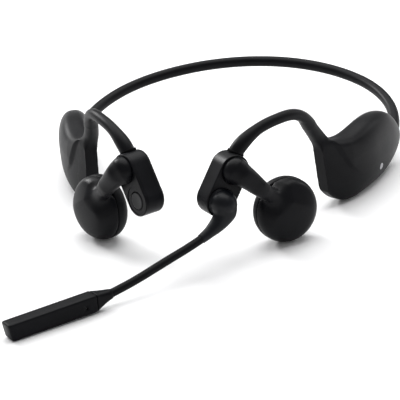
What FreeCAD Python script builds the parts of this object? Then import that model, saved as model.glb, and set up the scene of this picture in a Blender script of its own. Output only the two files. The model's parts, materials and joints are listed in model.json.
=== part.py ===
import FreeCAD, Part
import math
import os

# Open-ear headset with a neckband, two swivelling ear pads and a boom microphone.
# Millimetres. The origin is the centre of the footprint, on the surface it stands on.
# +X is the wearer's left, +Y is the wearer's back, +Z is up. The left side is modelled
# and mirrored across X = 0 wherever both sides are alike.

V = FreeCAD.Vector

# ---------------------------------------------------------------- driving dimensions
BAND_HALF_WIDTH = 60.2        # neckband centreline, half of its width
BAND_DEPTH = 53.9             # from where the band leaves the housings to the nape
BAND_START_Y = 54.2
BAND_START_Z = 7.7
BAND_RISE = 0.125             # the band climbs this much per millimetre towards the nape
BAND_RADIUS = 2.05
BAND_CORNER_RADIUS = 51.0     # tighter bend of the band beside each housing
BAND_PLUG_LENGTH = 10.0       # straight end of the band inside the housing

WIRE_RADIUS = 0.5             # spring wire in the band, hooks and boom
CABLE_RADIUS = 0.6
CORE_OFFSET = 0.85            # wire and cable lie this far each side of the centreline

HOUSING_WALL = 1.3
SECTION_POINTS = 28           # points round one housing section

POD_CENTRE = V(14.5, -39.3, 26.9)
POD_YAW = 50.0                # outward normal, degrees from +X towards -Y
POD_TILT = 3.0                # outward normal, degrees above level
POD_LEAN = 34.0               # the top of the pod leans back by this angle
POD_LENGTH = 22.8
POD_WIDTH = 11.2
POD_THICKNESS = 8.6
POD_WALL = 1.1
COVER_THICKNESS = 1.3
POCKET_RADIUS = 5.1
POCKET_DEPTH = 0.6
SWIVEL_GAP = 0.15
ROOT_RADIUS = 4.9
BALL_RADIUS = 4.6             # ball on top of the boom's round foot
SWING_RADIUS = 9.0            # within it an arm keeps clear of the pod's face
PIN_RADIUS = 1.2
PIN_CLEARANCE = 0.05

EAR_CENTRE = V(33.8, -27.2, 11.69)
EAR_RADIUS = 11.7
EAR_DOME_HEIGHT = 7.2
EAR_PAD_DEPTH = 5.9
EAR_WALL = 1.3
DRIVER_SEAT_RADIUS = 9.5
DRIVER_SEAT_DEPTH = 4.2

BUTTON_RADIUS = 3.2
BUTTON_GAP = 0.2

BUTTON_FLANGE = 0.6           # the flange that holds the button in is wider by this
BUTTON_BASE = 1.95
BUTTON_BOARD_LEVEL = -0.4

LIGHT_RADIUS = 1.2
CONTACT_RADIUS = 0.9
PLUG_DEPTH = 2.2              # light and contacts reach this far in from the surface

STEM_RADIUS = 1.55
MIC_SIDE = 5.6
MIC_WALL = 0.9
MIC_START = V(-22.2, -85.0, 3.1)
MIC_TIP = V(-46.2, -107.6, 3.1)

# Levels inside a pod, measured along its outward normal from its centre.
FACE = POD_THICKNESS / 2
POCKET_FLOOR = FACE - POCKET_DEPTH
COVER_UNDERSIDE = FACE - COVER_THICKNESS
CASE_FLOOR = -FACE + POD_WALL
END_PITCH = (POD_LENGTH - POD_WIDTH) / 2

# ---------------------------------------------------------------- small helpers


def save(name, shape):
    """Write one sub-part."""
    shape.exportStep("parts/%s.step" % name)


def mirrored(shape):
    """The same piece on the wearer's right."""
    return shape.mirror(V(0, 0, 0), V(1, 0, 0))


def save_both(name, left_shape):
    """Write the left piece and its mirror image."""
    save("left_" + name, left_shape)
    save("right_" + name, mirrored(left_shape))


def closed_curve(points):
    """Smooth closed wire through the points."""
    curve = Part.BSplineCurve()
    curve.interpolate(Points=points, PeriodicFlag=True)
    return Part.Wire([curve.toShape()])


def superellipse(centre, across, up, half_across, half_up, power, count=SECTION_POINTS):
    """Closed wire: an ellipse at power 2, a rounded rectangle above it.

    Its points are evenly spaced round the outline, so that sections loft cleanly."""
    fine = 720
    outline = []
    for step in range(fine + 1):
        angle = 2 * math.pi * step / fine
        c = math.cos(angle)
        s = math.sin(angle)
        u = half_across * math.copysign(abs(c) ** (2 / power), c)
        v = half_up * math.copysign(abs(s) ** (2 / power), s)
        outline.append(centre + across * u + up * v)
    travelled = [0.0]
    for a, b in zip(outline, outline[1:]):
        travelled.append(travelled[-1] + (b - a).Length)
    points = []
    index = 0
    for step in range(count):
        target = travelled[-1] * step / count
        while travelled[index + 1] < target:
            index += 1
        blend = (target - travelled[index]) / (travelled[index + 1] - travelled[index])
        points.append(outline[index] * (1 - blend) + outline[index + 1] * blend)
    return closed_curve(points)


def circle(centre, normal, radius):
    return Part.Wire([Part.Circle(centre, normal, radius).toShape()])


def loft(wires):
    """Closed solid through the sections."""
    return Part.makeLoft(wires, True, False)


def smooth_path(points):
    curve = Part.BSplineCurve()
    curve.interpolate(Points=points)
    return curve


def tube(points, radii, stations):
    """Round bar along a smooth path; its radius runs evenly between the given ones."""
    path = smooth_path(points)
    first = path.FirstParameter
    last = path.LastParameter
    wires = []
    for step in range(stations):
        share = step / (stations - 1)
        parameter = first + (last - first) * share
        place = share * (len(radii) - 1)
        index = min(int(place), len(radii) - 2)
        radius = radii[index] + (radii[index + 1] - radii[index]) * (place - index)
        tangent = path.tangent(parameter)[0]
        wires.append(circle(path.value(parameter), tangent, radius))
    return loft(wires)


def stadium(radius, half_pitch, low, height):
    """Slab with round ends, long along Y, standing from low along Z."""
    left_low = V(-radius, -half_pitch, low)
    left_high = V(-radius, half_pitch, low)
    right_low = V(radius, -half_pitch, low)
    right_high = V(radius, half_pitch, low)
    edges = [
        Part.LineSegment(left_low, left_high).toShape(),
        Part.Arc(left_high, V(0, half_pitch + radius, low), right_high).toShape(),
        Part.LineSegment(right_high, right_low).toShape(),
        Part.Arc(right_low, V(0, -half_pitch - radius, low), left_low).toShape(),
    ]
    return Part.Face(Part.Wire(edges)).extrude(V(0, 0, height))


def ring(outer, inner, centre, height, axis=V(0, 0, 1)):
    """Flat ring standing from centre along axis."""
    solid = Part.makeCylinder(outer, height, centre, axis)
    return solid.cut(Part.makeCylinder(inner, height, centre, axis))


def edges_at_level(shape, level):
    """Edges that lie wholly at one height."""
    found = []
    for edge in shape.Edges:
        box = edge.BoundBox
        if abs(box.ZMin - level) < 1e-4 and abs(box.ZMax - level) < 1e-4:
            found.append(edge)
    return found


# ---------------------------------------------------------------- pod frame
# Local x runs along the pod's short side towards the back, local y along its long side
# upwards, and local z outwards from the wearer.

yaw = math.radians(POD_YAW)
tilt = math.radians(POD_TILT)
lean = math.radians(POD_LEAN)
level_out = V(math.cos(yaw), -math.sin(yaw), 0)
level_back = V(math.sin(yaw), math.cos(yaw), 0)
POD_OUT = level_out * math.cos(tilt) + V(0, 0, math.sin(tilt))
face_up = V(0, 0, math.cos(tilt)) - level_out * math.sin(tilt)
POD_UP = face_up * math.cos(lean) + level_back * math.sin(lean)
POD_BACK = level_back * math.cos(lean) - face_up * math.sin(lean)

POD_MATRIX = FreeCAD.Matrix(
    POD_BACK.x, POD_UP.x, POD_OUT.x, POD_CENTRE.x,
    POD_BACK.y, POD_UP.y, POD_OUT.y, POD_CENTRE.y,
    POD_BACK.z, POD_UP.z, POD_OUT.z, POD_CENTRE.z,
    0, 0, 0, 1)


def from_pod(shape):
    """Move a piece from pod coordinates to the headset."""
    return shape.transformed(POD_MATRIX, True)


def in_pod(point):
    """Coordinates of a headset point in the pod frame."""
    offset = point - POD_CENTRE
    return V(offset.dot(POD_BACK), offset.dot(POD_UP), offset.dot(POD_OUT))


def out_of_pod(point):
    return POD_CENTRE + POD_BACK * point.x + POD_UP * point.y + POD_OUT * point.z


UPPER = V(0, END_PITCH, 0)
LOWER = V(0, -END_PITCH, 0)
EAR = in_pod(EAR_CENTRE)

# ---------------------------------------------------------------- routes
HOOK_ROUTE = [
    out_of_pod(V(0, POD_LENGTH / 2 - 2.4, 0)),
    out_of_pod(V(0, POD_LENGTH / 2 + 1.0, 0)),
    V(22.2, -31.6, 40.0),
    V(26.3, -27.0, 42.3),
    V(31.6, -20.6, 43.1),
    V(36.0, -14.2, 42.1),
    V(38.6, -9.1, 38.8),
    V(40.0, -5.1, 34.4),
    V(41.3, -1.3, 29.2),
    V(44.2, 3.6, 21.4),
]
HOOK_RADII = [2.7, 2.65, 2.05, 2.0, 2.0, 2.0, 2.2, 2.4, 2.6, 2.3]
HOOK_SIDE = V(0.82, -0.572, 0)     # across the plane in which the hook bends

HORN_ROUTE = [
    V(16.4, -46.0, 22.0),
    V(16.3, -47.0, 19.2),
    V(14.2, -49.2, 16.3),
    V(11.6, -52.2, 14.3),
    V(9.1, -54.9, 12.9),
]
HORN_RADII = [4.1, 3.6, 2.7, 1.95, 1.7]

STEM_ROUTE = [
    V(11.6, -52.2, 14.3),
    V(9.1, -54.9, 12.9),
    V(4.6, -59.8, 11.3),
    V(-0.5, -65.0, 9.7),
    V(-9.9, -74.1, 6.5),
    V(-17.4, -80.6, 4.4),
    V(-19.4, -82.3, 3.9),
]


def shifted(points, offset):
    return [point + offset for point in points]


# ---------------------------------------------------------------- neckband

def band_frame(u, v):
    """Point of the band's tilted plane: u across the head, v back along the slope."""
    run = 1 / math.hypot(1, BAND_RISE)
    return V(u, BAND_START_Y + v * run, BAND_START_Z + v * run * BAND_RISE)


def band_path(shrink):
    """Centreline from the left housing round the nape to the right one.

    Two corner arcs and one long arc, tangent to each other, inset by shrink."""
    half_width = BAND_HALF_WIDTH
    depth = BAND_DEPTH * math.hypot(1, BAND_RISE)
    corner = BAND_CORNER_RADIUS
    side = half_width - corner
    nape_radius = (side ** 2 + depth ** 2 - corner ** 2) / (2 * (depth - corner))
    turn = math.atan2(side, nape_radius - depth)
    corner_sweep = math.pi / 2 - turn
    corner -= shrink
    nape_radius -= shrink
    nape_centre_v = depth - shrink - nape_radius

    def corner_point(sign, angle):
        return band_frame(sign * (side + corner * math.cos(angle)), corner * math.sin(angle))

    def nape_point(angle):
        return band_frame(nape_radius * math.sin(angle), nape_centre_v + nape_radius * math.cos(angle))

    edges = [
        Part.LineSegment(band_frame(side + corner, -BAND_PLUG_LENGTH), corner_point(1, 0)),
        Part.Arc(corner_point(1, 0), corner_point(1, corner_sweep / 2), corner_point(1, corner_sweep)),
        Part.Arc(nape_point(turn), nape_point(0), nape_point(-turn)),
        Part.Arc(corner_point(-1, corner_sweep), corner_point(-1, corner_sweep / 2), corner_point(-1, 0)),
        Part.LineSegment(corner_point(-1, 0), band_frame(-side - corner, -BAND_PLUG_LENGTH)),
    ]
    return Part.Wire([edge.toShape() for edge in edges])


def band_tube(radius, shrink):
    path = band_path(shrink)
    start = path.Vertexes[0].Point
    direction = band_frame(0, 1) - band_frame(0, 0)
    return path.makePipeShell([circle(start, direction, radius)], True, False)


def make_neckband():
    wire = band_tube(WIRE_RADIUS, CORE_OFFSET)
    cable = band_tube(CABLE_RADIUS, -CORE_OFFSET)
    sleeve = band_tube(BAND_RADIUS, 0)
    save("neckband_sleeve", sleeve.cut(wire).cut(cable))
    save("neckband_core_wire", wire)
    save("neckband_cable", cable)
    return sleeve


# ---------------------------------------------------------------- housings behind the ears
# Sections across the housing: place on plan, direction it faces in degrees from +Y towards
# +X, half thickness, bottom and top levels, squareness, and how far its top leans forward.
HOUSING_SECTIONS = [
    (41.95, -1.45, 30, 2.45, 6.8, 28.0, 7.0, 1.2),
    (44.3, 2.0, 29, 3.4, 2.75, 26.6, 6.0, 1.2),
    (47.4, 7.2, 27, 4.7, 0.55, 24.9, 4.0, 0.7),
    (51.2, 14.8, 21, 5.9, 0.35, 24.9, 3.0, 0.2),
    (54.4, 24.0, 16, 6.3, 0.25, 25.3, 2.7, 0),
    (57.1, 34.0, 13, 6.0, 0.65, 23.7, 2.5, 0),
    (59.1, 42.5, 9, 4.9, 2.15, 19.2, 2.3, 0),
    (60.0, 48.6, 4, 3.6, 4.0, 13.5, 2.2, 0),
    (60.2, 52.6, 0, 2.5, 5.1, 10.2, 2.0, 0),
]

# The hollow starts at this section and ends at the last but one.
CAVITY_FRONT = (45.3, 3.6, 28.6, 3.75, 2.15, 25.9, 5.0, 0.9)


def housing_wire(section, inset):
    x, y, heading, half, low, high, power, lean = section
    angle = math.radians(heading)
    along = V(math.sin(angle), math.cos(angle), 0)
    across = V(math.cos(angle), -math.sin(angle), 0)
    middle = V(x, y, (low + high) / 2)
    half_height = (high - low) / 2
    up = V(0, 0, 1) - along * (lean / half_height)
    return superellipse(middle, across, up, half - inset, half_height - inset, power)


def housing_seam():
    """Plan line that parts the outer shell from the inner one."""
    middle = [V(section[0], section[1], -5) for section in HOUSING_SECTIONS]
    return [V(39.0, -9.0, -5)] + middle + [V(60.2, 62.0, -5)]


def make_outer_zone():
    """Everything outboard of the housing's seam."""
    line = housing_seam()
    corners = [line[-1], V(90, 62, -5), V(90, -9, -5), line[0]]
    border = [Part.LineSegment(a, b).toShape() for a, b in zip(corners, corners[1:])]
    return Part.Face(Part.Wire([smooth_path(line).toShape()] + border)).extrude(V(0, 0, 45))


# ---------------------------------------------------------------- inside the housings
# Core coordinates: x along the chord of the housing towards the back, y outboard, z up.
CORE_MIDDLE = V(53.4, 22.5, 13.2)
core_heading = math.radians(19.0)
CORE_ALONG = V(math.sin(core_heading), math.cos(core_heading), 0)
CORE_ACROSS = V(math.cos(core_heading), -math.sin(core_heading), 0)


def from_core(point):
    return CORE_MIDDLE + CORE_ALONG * point.x + CORE_ACROSS * point.y + V(0, 0, point.z)


def block(length, width, height, middle, rounding=0.0):
    """Upright box centred on a core point."""
    box = Part.makeBox(length, width, height, V(-length / 2, -width / 2, -height / 2))
    if rounding > 0:
        box = box.makeFillet(rounding, box.Edges)
    turn = FreeCAD.Rotation(V(0, 0, 1), 90 - math.degrees(core_heading))
    return box.transformed(FreeCAD.Placement(from_core(middle), turn).Matrix, True)


def wall_post(wall_middle, along, up, radius, tip):
    """Post rooted halfway into the inner wall; its tip touches what it holds."""
    start = from_core(V(along, tip, up))
    return Part.makeCylinder(radius, 14, start, CORE_ACROSS * -1).common(wall_middle)


def make_board():
    """Circuit board with its chips."""
    board = block(25, 0.8, 16.5, V(0, 0, 0))
    chips = [
        block(6, 1.2, 6, V(-5, 0.9, -3)),
        block(4, 1.0, 4, V(4, 0.8, 2)),
        block(3, 1.4, 2.4, V(8.5, 1.0, -4)),
        block(5, 1.2, 3.4, V(-6, -0.9, 3.4)),
    ]
    for chip in chips:
        board = board.fuse(chip)
    return board


def flush_plug(envelope, place, direction, radius):
    """Round plug through the wall, trimmed to the housing's surface, and its hole."""
    rod = Part.makeCylinder(radius, 12, place, direction)
    inward = direction * -PLUG_DEPTH
    return rod.common(envelope).cut(envelope.translated(inward)), rod


# ---------------------------------------------------------------- volume buttons
VOLUME_STATIONS = {"volume_up_button": 2.5, "volume_down_button": -7.5}
VOLUME_HALF_PITCH = 1.9
VOLUME_RADIUS = 1.6
VOLUME_GAP = 0.2
VOLUME_FACE = 0.4             # recessed, so that the housing rests on its own bottom
VOLUME_FLANGE = 0.4
VOLUME_FLANGE_LOW = 2.0


def underside_slot(along, radius, low, height):
    """Slot-shaped slab under the housing, long along it."""
    slab = stadium(radius, VOLUME_HALF_PITCH, 0, height)
    place = from_core(V(along, 0, 0))
    turn = FreeCAD.Rotation(V(0, 0, 1), -math.degrees(core_heading))
    return slab.transformed(FreeCAD.Placement(V(place.x, place.y, low), turn).Matrix, True)


def make_volume_opening(along):
    """Slot for the button, wider above so that the button's flange has room."""
    slot = underside_slot(along, VOLUME_RADIUS + VOLUME_GAP, -1, 4)
    room = underside_slot(along, VOLUME_RADIUS + VOLUME_FLANGE + VOLUME_GAP, VOLUME_FLANGE_LOW - 0.1, 2)
    return slot.fuse(room)


def make_volume_button(along):
    top = 2.5
    cap = underside_slot(along, VOLUME_RADIUS, VOLUME_FACE, top - VOLUME_FACE)
    cap = cap.makeFillet(0.3, edges_at_level(cap, VOLUME_FACE))
    flange_height = top - VOLUME_FLANGE_LOW
    return cap.fuse(underside_slot(along, VOLUME_RADIUS + VOLUME_FLANGE, VOLUME_FLANGE_LOW, flange_height))


def make_volume_switch(along):
    """Small key switch that hangs from the lower edge of the board."""
    top = CORE_MIDDLE.z - 16.5 / 2
    height = 1.9
    return block(3.6, 2.6, height, V(along, 0, top - height / 2 - CORE_MIDDLE.z))


# ---------------------------------------------------------------- pods
def make_case(hook):
    body = stadium(POD_WIDTH / 2, END_PITCH, -FACE, FACE + COVER_UNDERSIDE)
    body = body.makeFillet(1.5, edges_at_level(body, -FACE))
    cavity = stadium(POD_WIDTH / 2 - POD_WALL, END_PITCH, CASE_FLOOR, FACE * 2)
    return from_pod(body.cut(cavity)).cut(hook)


def make_cover_blank():
    """Lid of the pod before its pockets are sunk."""
    plate = stadium(POD_WIDTH / 2, END_PITCH, COVER_UNDERSIDE, COVER_THICKNESS)
    plate = plate.makeFillet(0.35, edges_at_level(plate, FACE))
    lip = stadium(POD_WIDTH / 2 - POD_WALL, END_PITCH, COVER_UNDERSIDE - 0.8, 0.8)
    lip_hollow = stadium(POD_WIDTH / 2 - POD_WALL - 0.6, END_PITCH, COVER_UNDERSIDE - 0.8, 0.8)
    return plate.fuse(lip.cut(lip_hollow))


def pocket(place, depth, hole_radius):
    """Round recess in the pod's face with a hole through its floor."""
    recess = Part.makeCylinder(POCKET_RADIUS, depth + 1, V(place.x, place.y, FACE - depth))
    hole = Part.makeCylinder(hole_radius, 6, V(place.x, place.y, FACE - 4))
    return recess.fuse(hole)


CLIP_LOW = COVER_UNDERSIDE - 1.15
CLIP_HEIGHT = 0.6
CLIP_RADIUS = 2.4
GROOVE_RADIUS = PIN_RADIUS - 0.25
WASHER_GAP = 0.03


def make_swivel_pin(place):
    pin = Part.makeCylinder(PIN_RADIUS, 6.6, V(place.x, place.y, CLIP_LOW - 0.7))
    return pin.cut(ring(PIN_RADIUS + 1, GROOVE_RADIUS, V(place.x, place.y, CLIP_LOW), CLIP_HEIGHT))


def make_swivel_clip(place):
    """Open ring in the pin's groove."""
    clip = ring(CLIP_RADIUS, GROOVE_RADIUS, V(place.x, place.y, CLIP_LOW), CLIP_HEIGHT)
    return clip.cut(Part.makeBox(1.2, 3, CLIP_HEIGHT, V(place.x - 0.6, place.y - 3.2, CLIP_LOW)))


def make_swivel_washer(place):
    """Friction washer under the cover."""
    low = CLIP_LOW + CLIP_HEIGHT + WASHER_GAP
    return ring(2.9, PIN_RADIUS + PIN_CLEARANCE, V(place.x, place.y, low), COVER_UNDERSIDE - low)


def make_swing_room(place):
    """Space round a swivel that the pod's face and pocket keep for themselves."""
    low = CLIP_LOW
    whole = Part.makeCylinder(SWING_RADIUS, FACE + SWIVEL_GAP - low, V(place.x, place.y, low))
    return whole.cut(Part.makeCylinder(ROOT_RADIUS - 0.15, FACE, V(place.x, place.y, ROOT_BASE + 0.3)))


def dome(centre, radius, height, foot):
    """Solid turned about Z: an elliptic dome above a round foot of the given depth."""
    arc_points = []
    for step in range(9):
        angle = math.pi / 2 * step / 8
        arc_points.append(centre + V(radius * math.cos(angle), 0, height * math.sin(angle)))
    base = centre - V(0, 0, foot)
    rim = base + V(radius, 0, 0)
    edges = [
        Part.LineSegment(base, rim).toShape(),
        Part.LineSegment(rim, arc_points[0]).toShape(),
        smooth_path(arc_points).toShape(),
        Part.LineSegment(arc_points[-1], base).toShape(),
    ]
    return Part.Face(Part.Wire(edges)).revolve(centre, V(0, 0, 1), 360)


# ---------------------------------------------------------------- earpieces
EAR_SEAM = EAR - V(0, 0, 0.5)      # plane in which the dome meets the pad
ROOT_BASE = POCKET_FLOOR + SWIVEL_GAP
ROOT_RIM = ROOT_BASE + 1.3
NECK_ROUTE = [
    V(1.0, 5.7, 5.9),
    V(6.5, 4.8, 6.3),
    V(11.5, 3.7, 5.9),
    V(16.0, 2.8, 5.5),
    V(20.5, 2.2, 5.1),
    V(24.5, 1.8, 4.2),
]
NECK_RADII = [3.6, 3.5, 3.15, 2.9, 2.75, 2.3]


def make_earpiece_shell(pin):
    """Swivelling arm: round foot, neck and hollow dome over the driver."""
    foot = dome(V(UPPER.x, UPPER.y, ROOT_RIM), ROOT_RADIUS, 4.6, ROOT_RIM - ROOT_BASE)
    foot.rotate(UPPER, V(0, 0, 1), 130)
    neck = tube(NECK_ROUTE, NECK_RADII, 13).cut(make_swing_room(UPPER))
    cap = dome(EAR_SEAM, EAR_RADIUS, EAR_DOME_HEIGHT, 0.001)
    hollow = dome(EAR_SEAM, EAR_RADIUS - EAR_WALL, EAR_DOME_HEIGHT - EAR_WALL, 1.0)
    return foot.fuse(neck).fuse(cap).cut(hollow).cut(pin)


def make_ear_pad():
    """Soft cup that rests on the cheekbone; its face looks towards the wearer."""
    face_radius = 8.0
    straight = 1.4
    outline = []
    for step in range(9):
        angle = math.pi / 2 * step / 8
        outline.append(EAR_SEAM + V(face_radius + (EAR_RADIUS - face_radius) * math.sin(angle), 0,
                                    -straight - (EAR_PAD_DEPTH - straight) * math.cos(angle)))
    rim = EAR_SEAM + V(EAR_RADIUS, 0, 0)
    floor = EAR_SEAM - V(0, 0, EAR_PAD_DEPTH)
    edges = [
        Part.LineSegment(floor, outline[0]).toShape(),
        smooth_path(outline).toShape(),
        Part.LineSegment(outline[-1], rim).toShape(),
        Part.LineSegment(rim, EAR_SEAM).toShape(),
        Part.LineSegment(EAR_SEAM, floor).toShape(),
    ]
    body = Part.Face(Part.Wire(edges)).revolve(EAR_SEAM, V(0, 0, 1), 360)
    return body.cut(Part.makeCylinder(DRIVER_SEAT_RADIUS, 10, EAR_SEAM - V(0, 0, DRIVER_SEAT_DEPTH)))


def at_seam(level):
    return EAR_SEAM + V(0, 0, level)


def make_driver():
    """Vibration driver, from the pad inwards: spring plate, coil, magnet and yoke."""
    plate = Part.makeCylinder(DRIVER_SEAT_RADIUS, 0.4, at_seam(-DRIVER_SEAT_DEPTH))
    coil = ring(6.1, 4.9, at_seam(-3.8), 2.2)
    cup = ring(7.6, 6.6, at_seam(-3.0), 2.8).fuse(Part.makeCylinder(7.6, 1.0, at_seam(-0.2)))
    yoke = cup.fuse(ring(EAR_RADIUS - EAR_WALL - 0.15, 7.4, at_seam(0), 0.6))
    magnet = Part.makeCylinder(4.4, 2.7, at_seam(-2.9))
    return {"driver_spring_plate": plate, "driver_coil": coil, "driver_yoke": yoke, "driver_magnet": magnet}


# ---------------------------------------------------------------- button in the right pod
def make_multifunction_button():
    """Cap with a retaining flange; it is pushed towards the wearer."""
    top = FACE - 0.05
    base = V(LOWER.x, LOWER.y, BUTTON_BASE)
    cap = Part.makeCylinder(BUTTON_RADIUS, top - BUTTON_BASE, base)
    cap = cap.makeFillet(0.35, edges_at_level(cap, top))
    return cap.fuse(Part.makeCylinder(BUTTON_RADIUS + BUTTON_FLANGE, 0.8, base))


def make_button_board():
    return Part.makeCylinder(4.2, 0.6, V(LOWER.x, LOWER.y, BUTTON_BOARD_LEVEL))


def make_button_switch():
    side = 3.4
    low = BUTTON_BOARD_LEVEL + 0.6
    body = Part.makeBox(side, side, 0.7, V(LOWER.x - side / 2, LOWER.y - side / 2, low))
    return body.fuse(Part.makeCylinder(0.9, 0.45, V(LOWER.x, LOWER.y, low + 0.7)))


def make_board_column():
    return Part.makeCylinder(1.6, BUTTON_BOARD_LEVEL - CASE_FLOOR, V(LOWER.x, LOWER.y, CASE_FLOOR))


# ---------------------------------------------------------------- boom
MIC_ALONG = (MIC_TIP - MIC_START).normalize()
MIC_SIDEWAYS = V(-MIC_ALONG.y, MIC_ALONG.x, 0)
MIC_LENGTH = (MIC_TIP - MIC_START).Length
COLLAR_START = V(-17.4, -80.6, 4.4)


def make_boom_pivot(stem, pin):
    """Round foot, ball and tapering horn that grips the stem."""
    ball = dome(V(LOWER.x, LOWER.y, ROOT_RIM), BALL_RADIUS, 5.8, 0.5)
    foot = Part.makeCylinder(ROOT_RADIUS, ROOT_RIM - ROOT_BASE, V(LOWER.x, LOWER.y, ROOT_BASE))
    horn = tube(HORN_ROUTE, HORN_RADII, 9).cut(from_pod(make_swing_room(LOWER)))
    return from_pod(foot.fuse(ball)).fuse(horn).cut(stem).cut(pin)


def mic_block(length, width, height, start, rounding):
    """Bar along the microphone: start is measured from the collar's face."""
    box = Part.makeBox(length, width, height, V(0, -width / 2, -height / 2))
    if rounding > 0:
        box = box.makeFillet(rounding, box.Edges)
    heading = math.degrees(math.atan2(MIC_ALONG.y, MIC_ALONG.x))
    place = FreeCAD.Placement(MIC_START + MIC_ALONG * start, FreeCAD.Rotation(V(0, 0, 1), heading))
    return box.transformed(place.Matrix, True)


def make_microphone():
    """Bar with the capsule behind a small hole in its front side."""
    bar = mic_block(MIC_LENGTH, MIC_SIDE, MIC_SIDE, 0, 0.8)
    inside = MIC_SIDE - 2 * MIC_WALL
    bar = bar.cut(mic_block(MIC_LENGTH - 2 * MIC_WALL, inside, inside, MIC_WALL, 0.3))
    port = MIC_START + MIC_ALONG * 4.2 + V(0, 0, -0.6)
    front = MIC_SIDEWAYS
    bar = bar.cut(Part.makeCylinder(0.4, 4, port + front * 1.5, front))
    board = mic_block(22, 0.6, 3.2, 2.0, 0)
    capsule = Part.makeCylinder(1.2, inside / 2 - 0.3, port + front * 0.3, front)
    return bar, board, capsule


def make_collar(stem):
    """Fairing from the round stem to the square bar."""
    axis = MIC_ALONG
    stem_direction = (STEM_ROUTE[-1] - STEM_ROUTE[-2]).normalize()
    sections = [
        circle_curve(COLLAR_START, stem_direction, STEM_RADIUS + 0.2),
        superellipse(MIC_START - axis * 3.4 + V(0, 0, 0.55), MIC_SIDEWAYS, V(0, 0, 1), 1.9, 1.9, 2.3),
        superellipse(MIC_START - axis * 1.2 + V(0, 0, 0.1), MIC_SIDEWAYS, V(0, 0, 1), 2.5, 2.45, 4.0),
        superellipse(MIC_START, MIC_SIDEWAYS, V(0, 0, 1), 2.7, 2.65, 6.0),
    ]
    return loft(sections).cut(stem)


def circle_curve(centre, normal, radius):
    """Round section with the same points as a superellipse, for lofting into one."""
    side = normal.cross(V(0, 0, 1)).normalize()
    up = side.cross(normal).normalize()
    return superellipse(centre, side, up, radius, radius, 2.0)


# ---------------------------------------------------------------- build everything
def make_hook():
    side = HOOK_SIDE * CORE_OFFSET
    sleeve = tube(HOOK_ROUTE, HOOK_RADII, 22)
    wire = tube(shifted(HOOK_ROUTE, side), [WIRE_RADIUS, WIRE_RADIUS], 22)
    cable = tube(shifted(HOOK_ROUTE, side * -1), [CABLE_RADIUS, CABLE_RADIUS], 22)
    save_both("hook_sleeve", sleeve.cut(wire).cut(cable))
    save_both("hook_core_wire", wire)
    save_both("hook_cable", cable)
    return sleeve


def make_housings(hook, band):
    envelope = loft([housing_wire(section, 0) for section in HOUSING_SECTIONS])
    hollow_sections = [CAVITY_FRONT] + HOUSING_SECTIONS[2:8]
    cavity = loft([housing_wire(section, HOUSING_WALL) for section in hollow_sections])
    shell = envelope.cut(cavity).cut(hook).cut(band)
    wall_middle = loft([housing_wire(section, HOUSING_WALL / 2) for section in HOUSING_SECTIONS])
    zone = make_outer_zone()
    outer = shell.common(zone)
    inner = shell.cut(zone)

    light, light_hole = flush_plug(envelope, V(57.2, 23.4, 6.8), CORE_ACROSS, LIGHT_RADIUS)
    contact_rods = []
    contacts = []
    for along in (3.0, 7.0):
        place = from_core(V(along, -3.2, -7.0))
        plug, rod = flush_plug(envelope, place, CORE_ACROSS * -1, CONTACT_RADIUS)
        contacts.append(plug)
        contact_rods.append(rod)

    left_outer = outer.cut(light_hole)
    left_inner = inner
    for rod in contact_rods:
        left_inner = left_inner.cut(rod)
    for along in VOLUME_STATIONS.values():
        opening = make_volume_opening(along)
        left_outer = left_outer.cut(opening)
        left_inner = left_inner.cut(opening)
    for along, up in ((-9.5, 6.0), (10.0, -5.0), (10.0, 5.5)):
        left_inner = left_inner.fuse(wall_post(wall_middle, along, up, 1.1, -0.4))
    right_inner = inner
    for along in (-6.0, 7.0):
        right_inner = right_inner.fuse(wall_post(wall_middle, along, 0, 1.4, -3.3))

    save("left_housing_outer", left_outer)
    save("left_housing_inner", left_inner)
    save("right_housing_outer", mirrored(outer))
    save("right_housing_inner", mirrored(right_inner))
    save("status_light", light)
    save("charging_contacts", Part.makeCompound(contacts))
    save("main_board", make_board())
    save("volume_switches", Part.makeCompound([make_volume_switch(a) for a in VOLUME_STATIONS.values()]))
    for name, along in VOLUME_STATIONS.items():
        save(name, make_volume_button(along))
    save("battery_cell", mirrored(block(22, 6.6, 15, V(0.5, 0, 0), 1.0)))
    save("battery_board", mirrored(block(22, 0.7, 7, V(0.5, 3.65, 0))))


def make_pods(hook):
    case = make_case(hook)
    save("left_pod_case", case)
    save("right_pod_case", mirrored(case.fuse(from_pod(make_board_column()))))
    blank = make_cover_blank()
    swivel_pocket = pocket(UPPER, POCKET_DEPTH, PIN_RADIUS + PIN_CLEARANCE)
    boom_pocket = pocket(LOWER, POCKET_DEPTH, PIN_RADIUS + PIN_CLEARANCE)
    button_pocket = pocket(LOWER, 0.25, BUTTON_RADIUS + BUTTON_GAP)
    save("left_pod_cover", from_pod(blank.cut(swivel_pocket).cut(boom_pocket)).cut(hook))
    save("right_pod_cover", mirrored(from_pod(blank.cut(swivel_pocket).cut(button_pocket)).cut(hook)))
    save("multifunction_button", mirrored(from_pod(make_multifunction_button())))
    save("multifunction_switch", mirrored(from_pod(make_button_switch())))
    save("button_board", mirrored(from_pod(make_button_board())))


def make_earpieces():
    pin = make_swivel_pin(UPPER)
    save_both("earpiece_swivel_pin", from_pod(pin))
    save_both("earpiece_clip", from_pod(make_swivel_clip(UPPER)))
    save_both("earpiece_washer", from_pod(make_swivel_washer(UPPER)))
    save_both("earpiece_shell", from_pod(make_earpiece_shell(pin)))
    save_both("ear_pad", from_pod(make_ear_pad()))
    for name, shape in make_driver().items():
        save_both(name, from_pod(shape))


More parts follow.
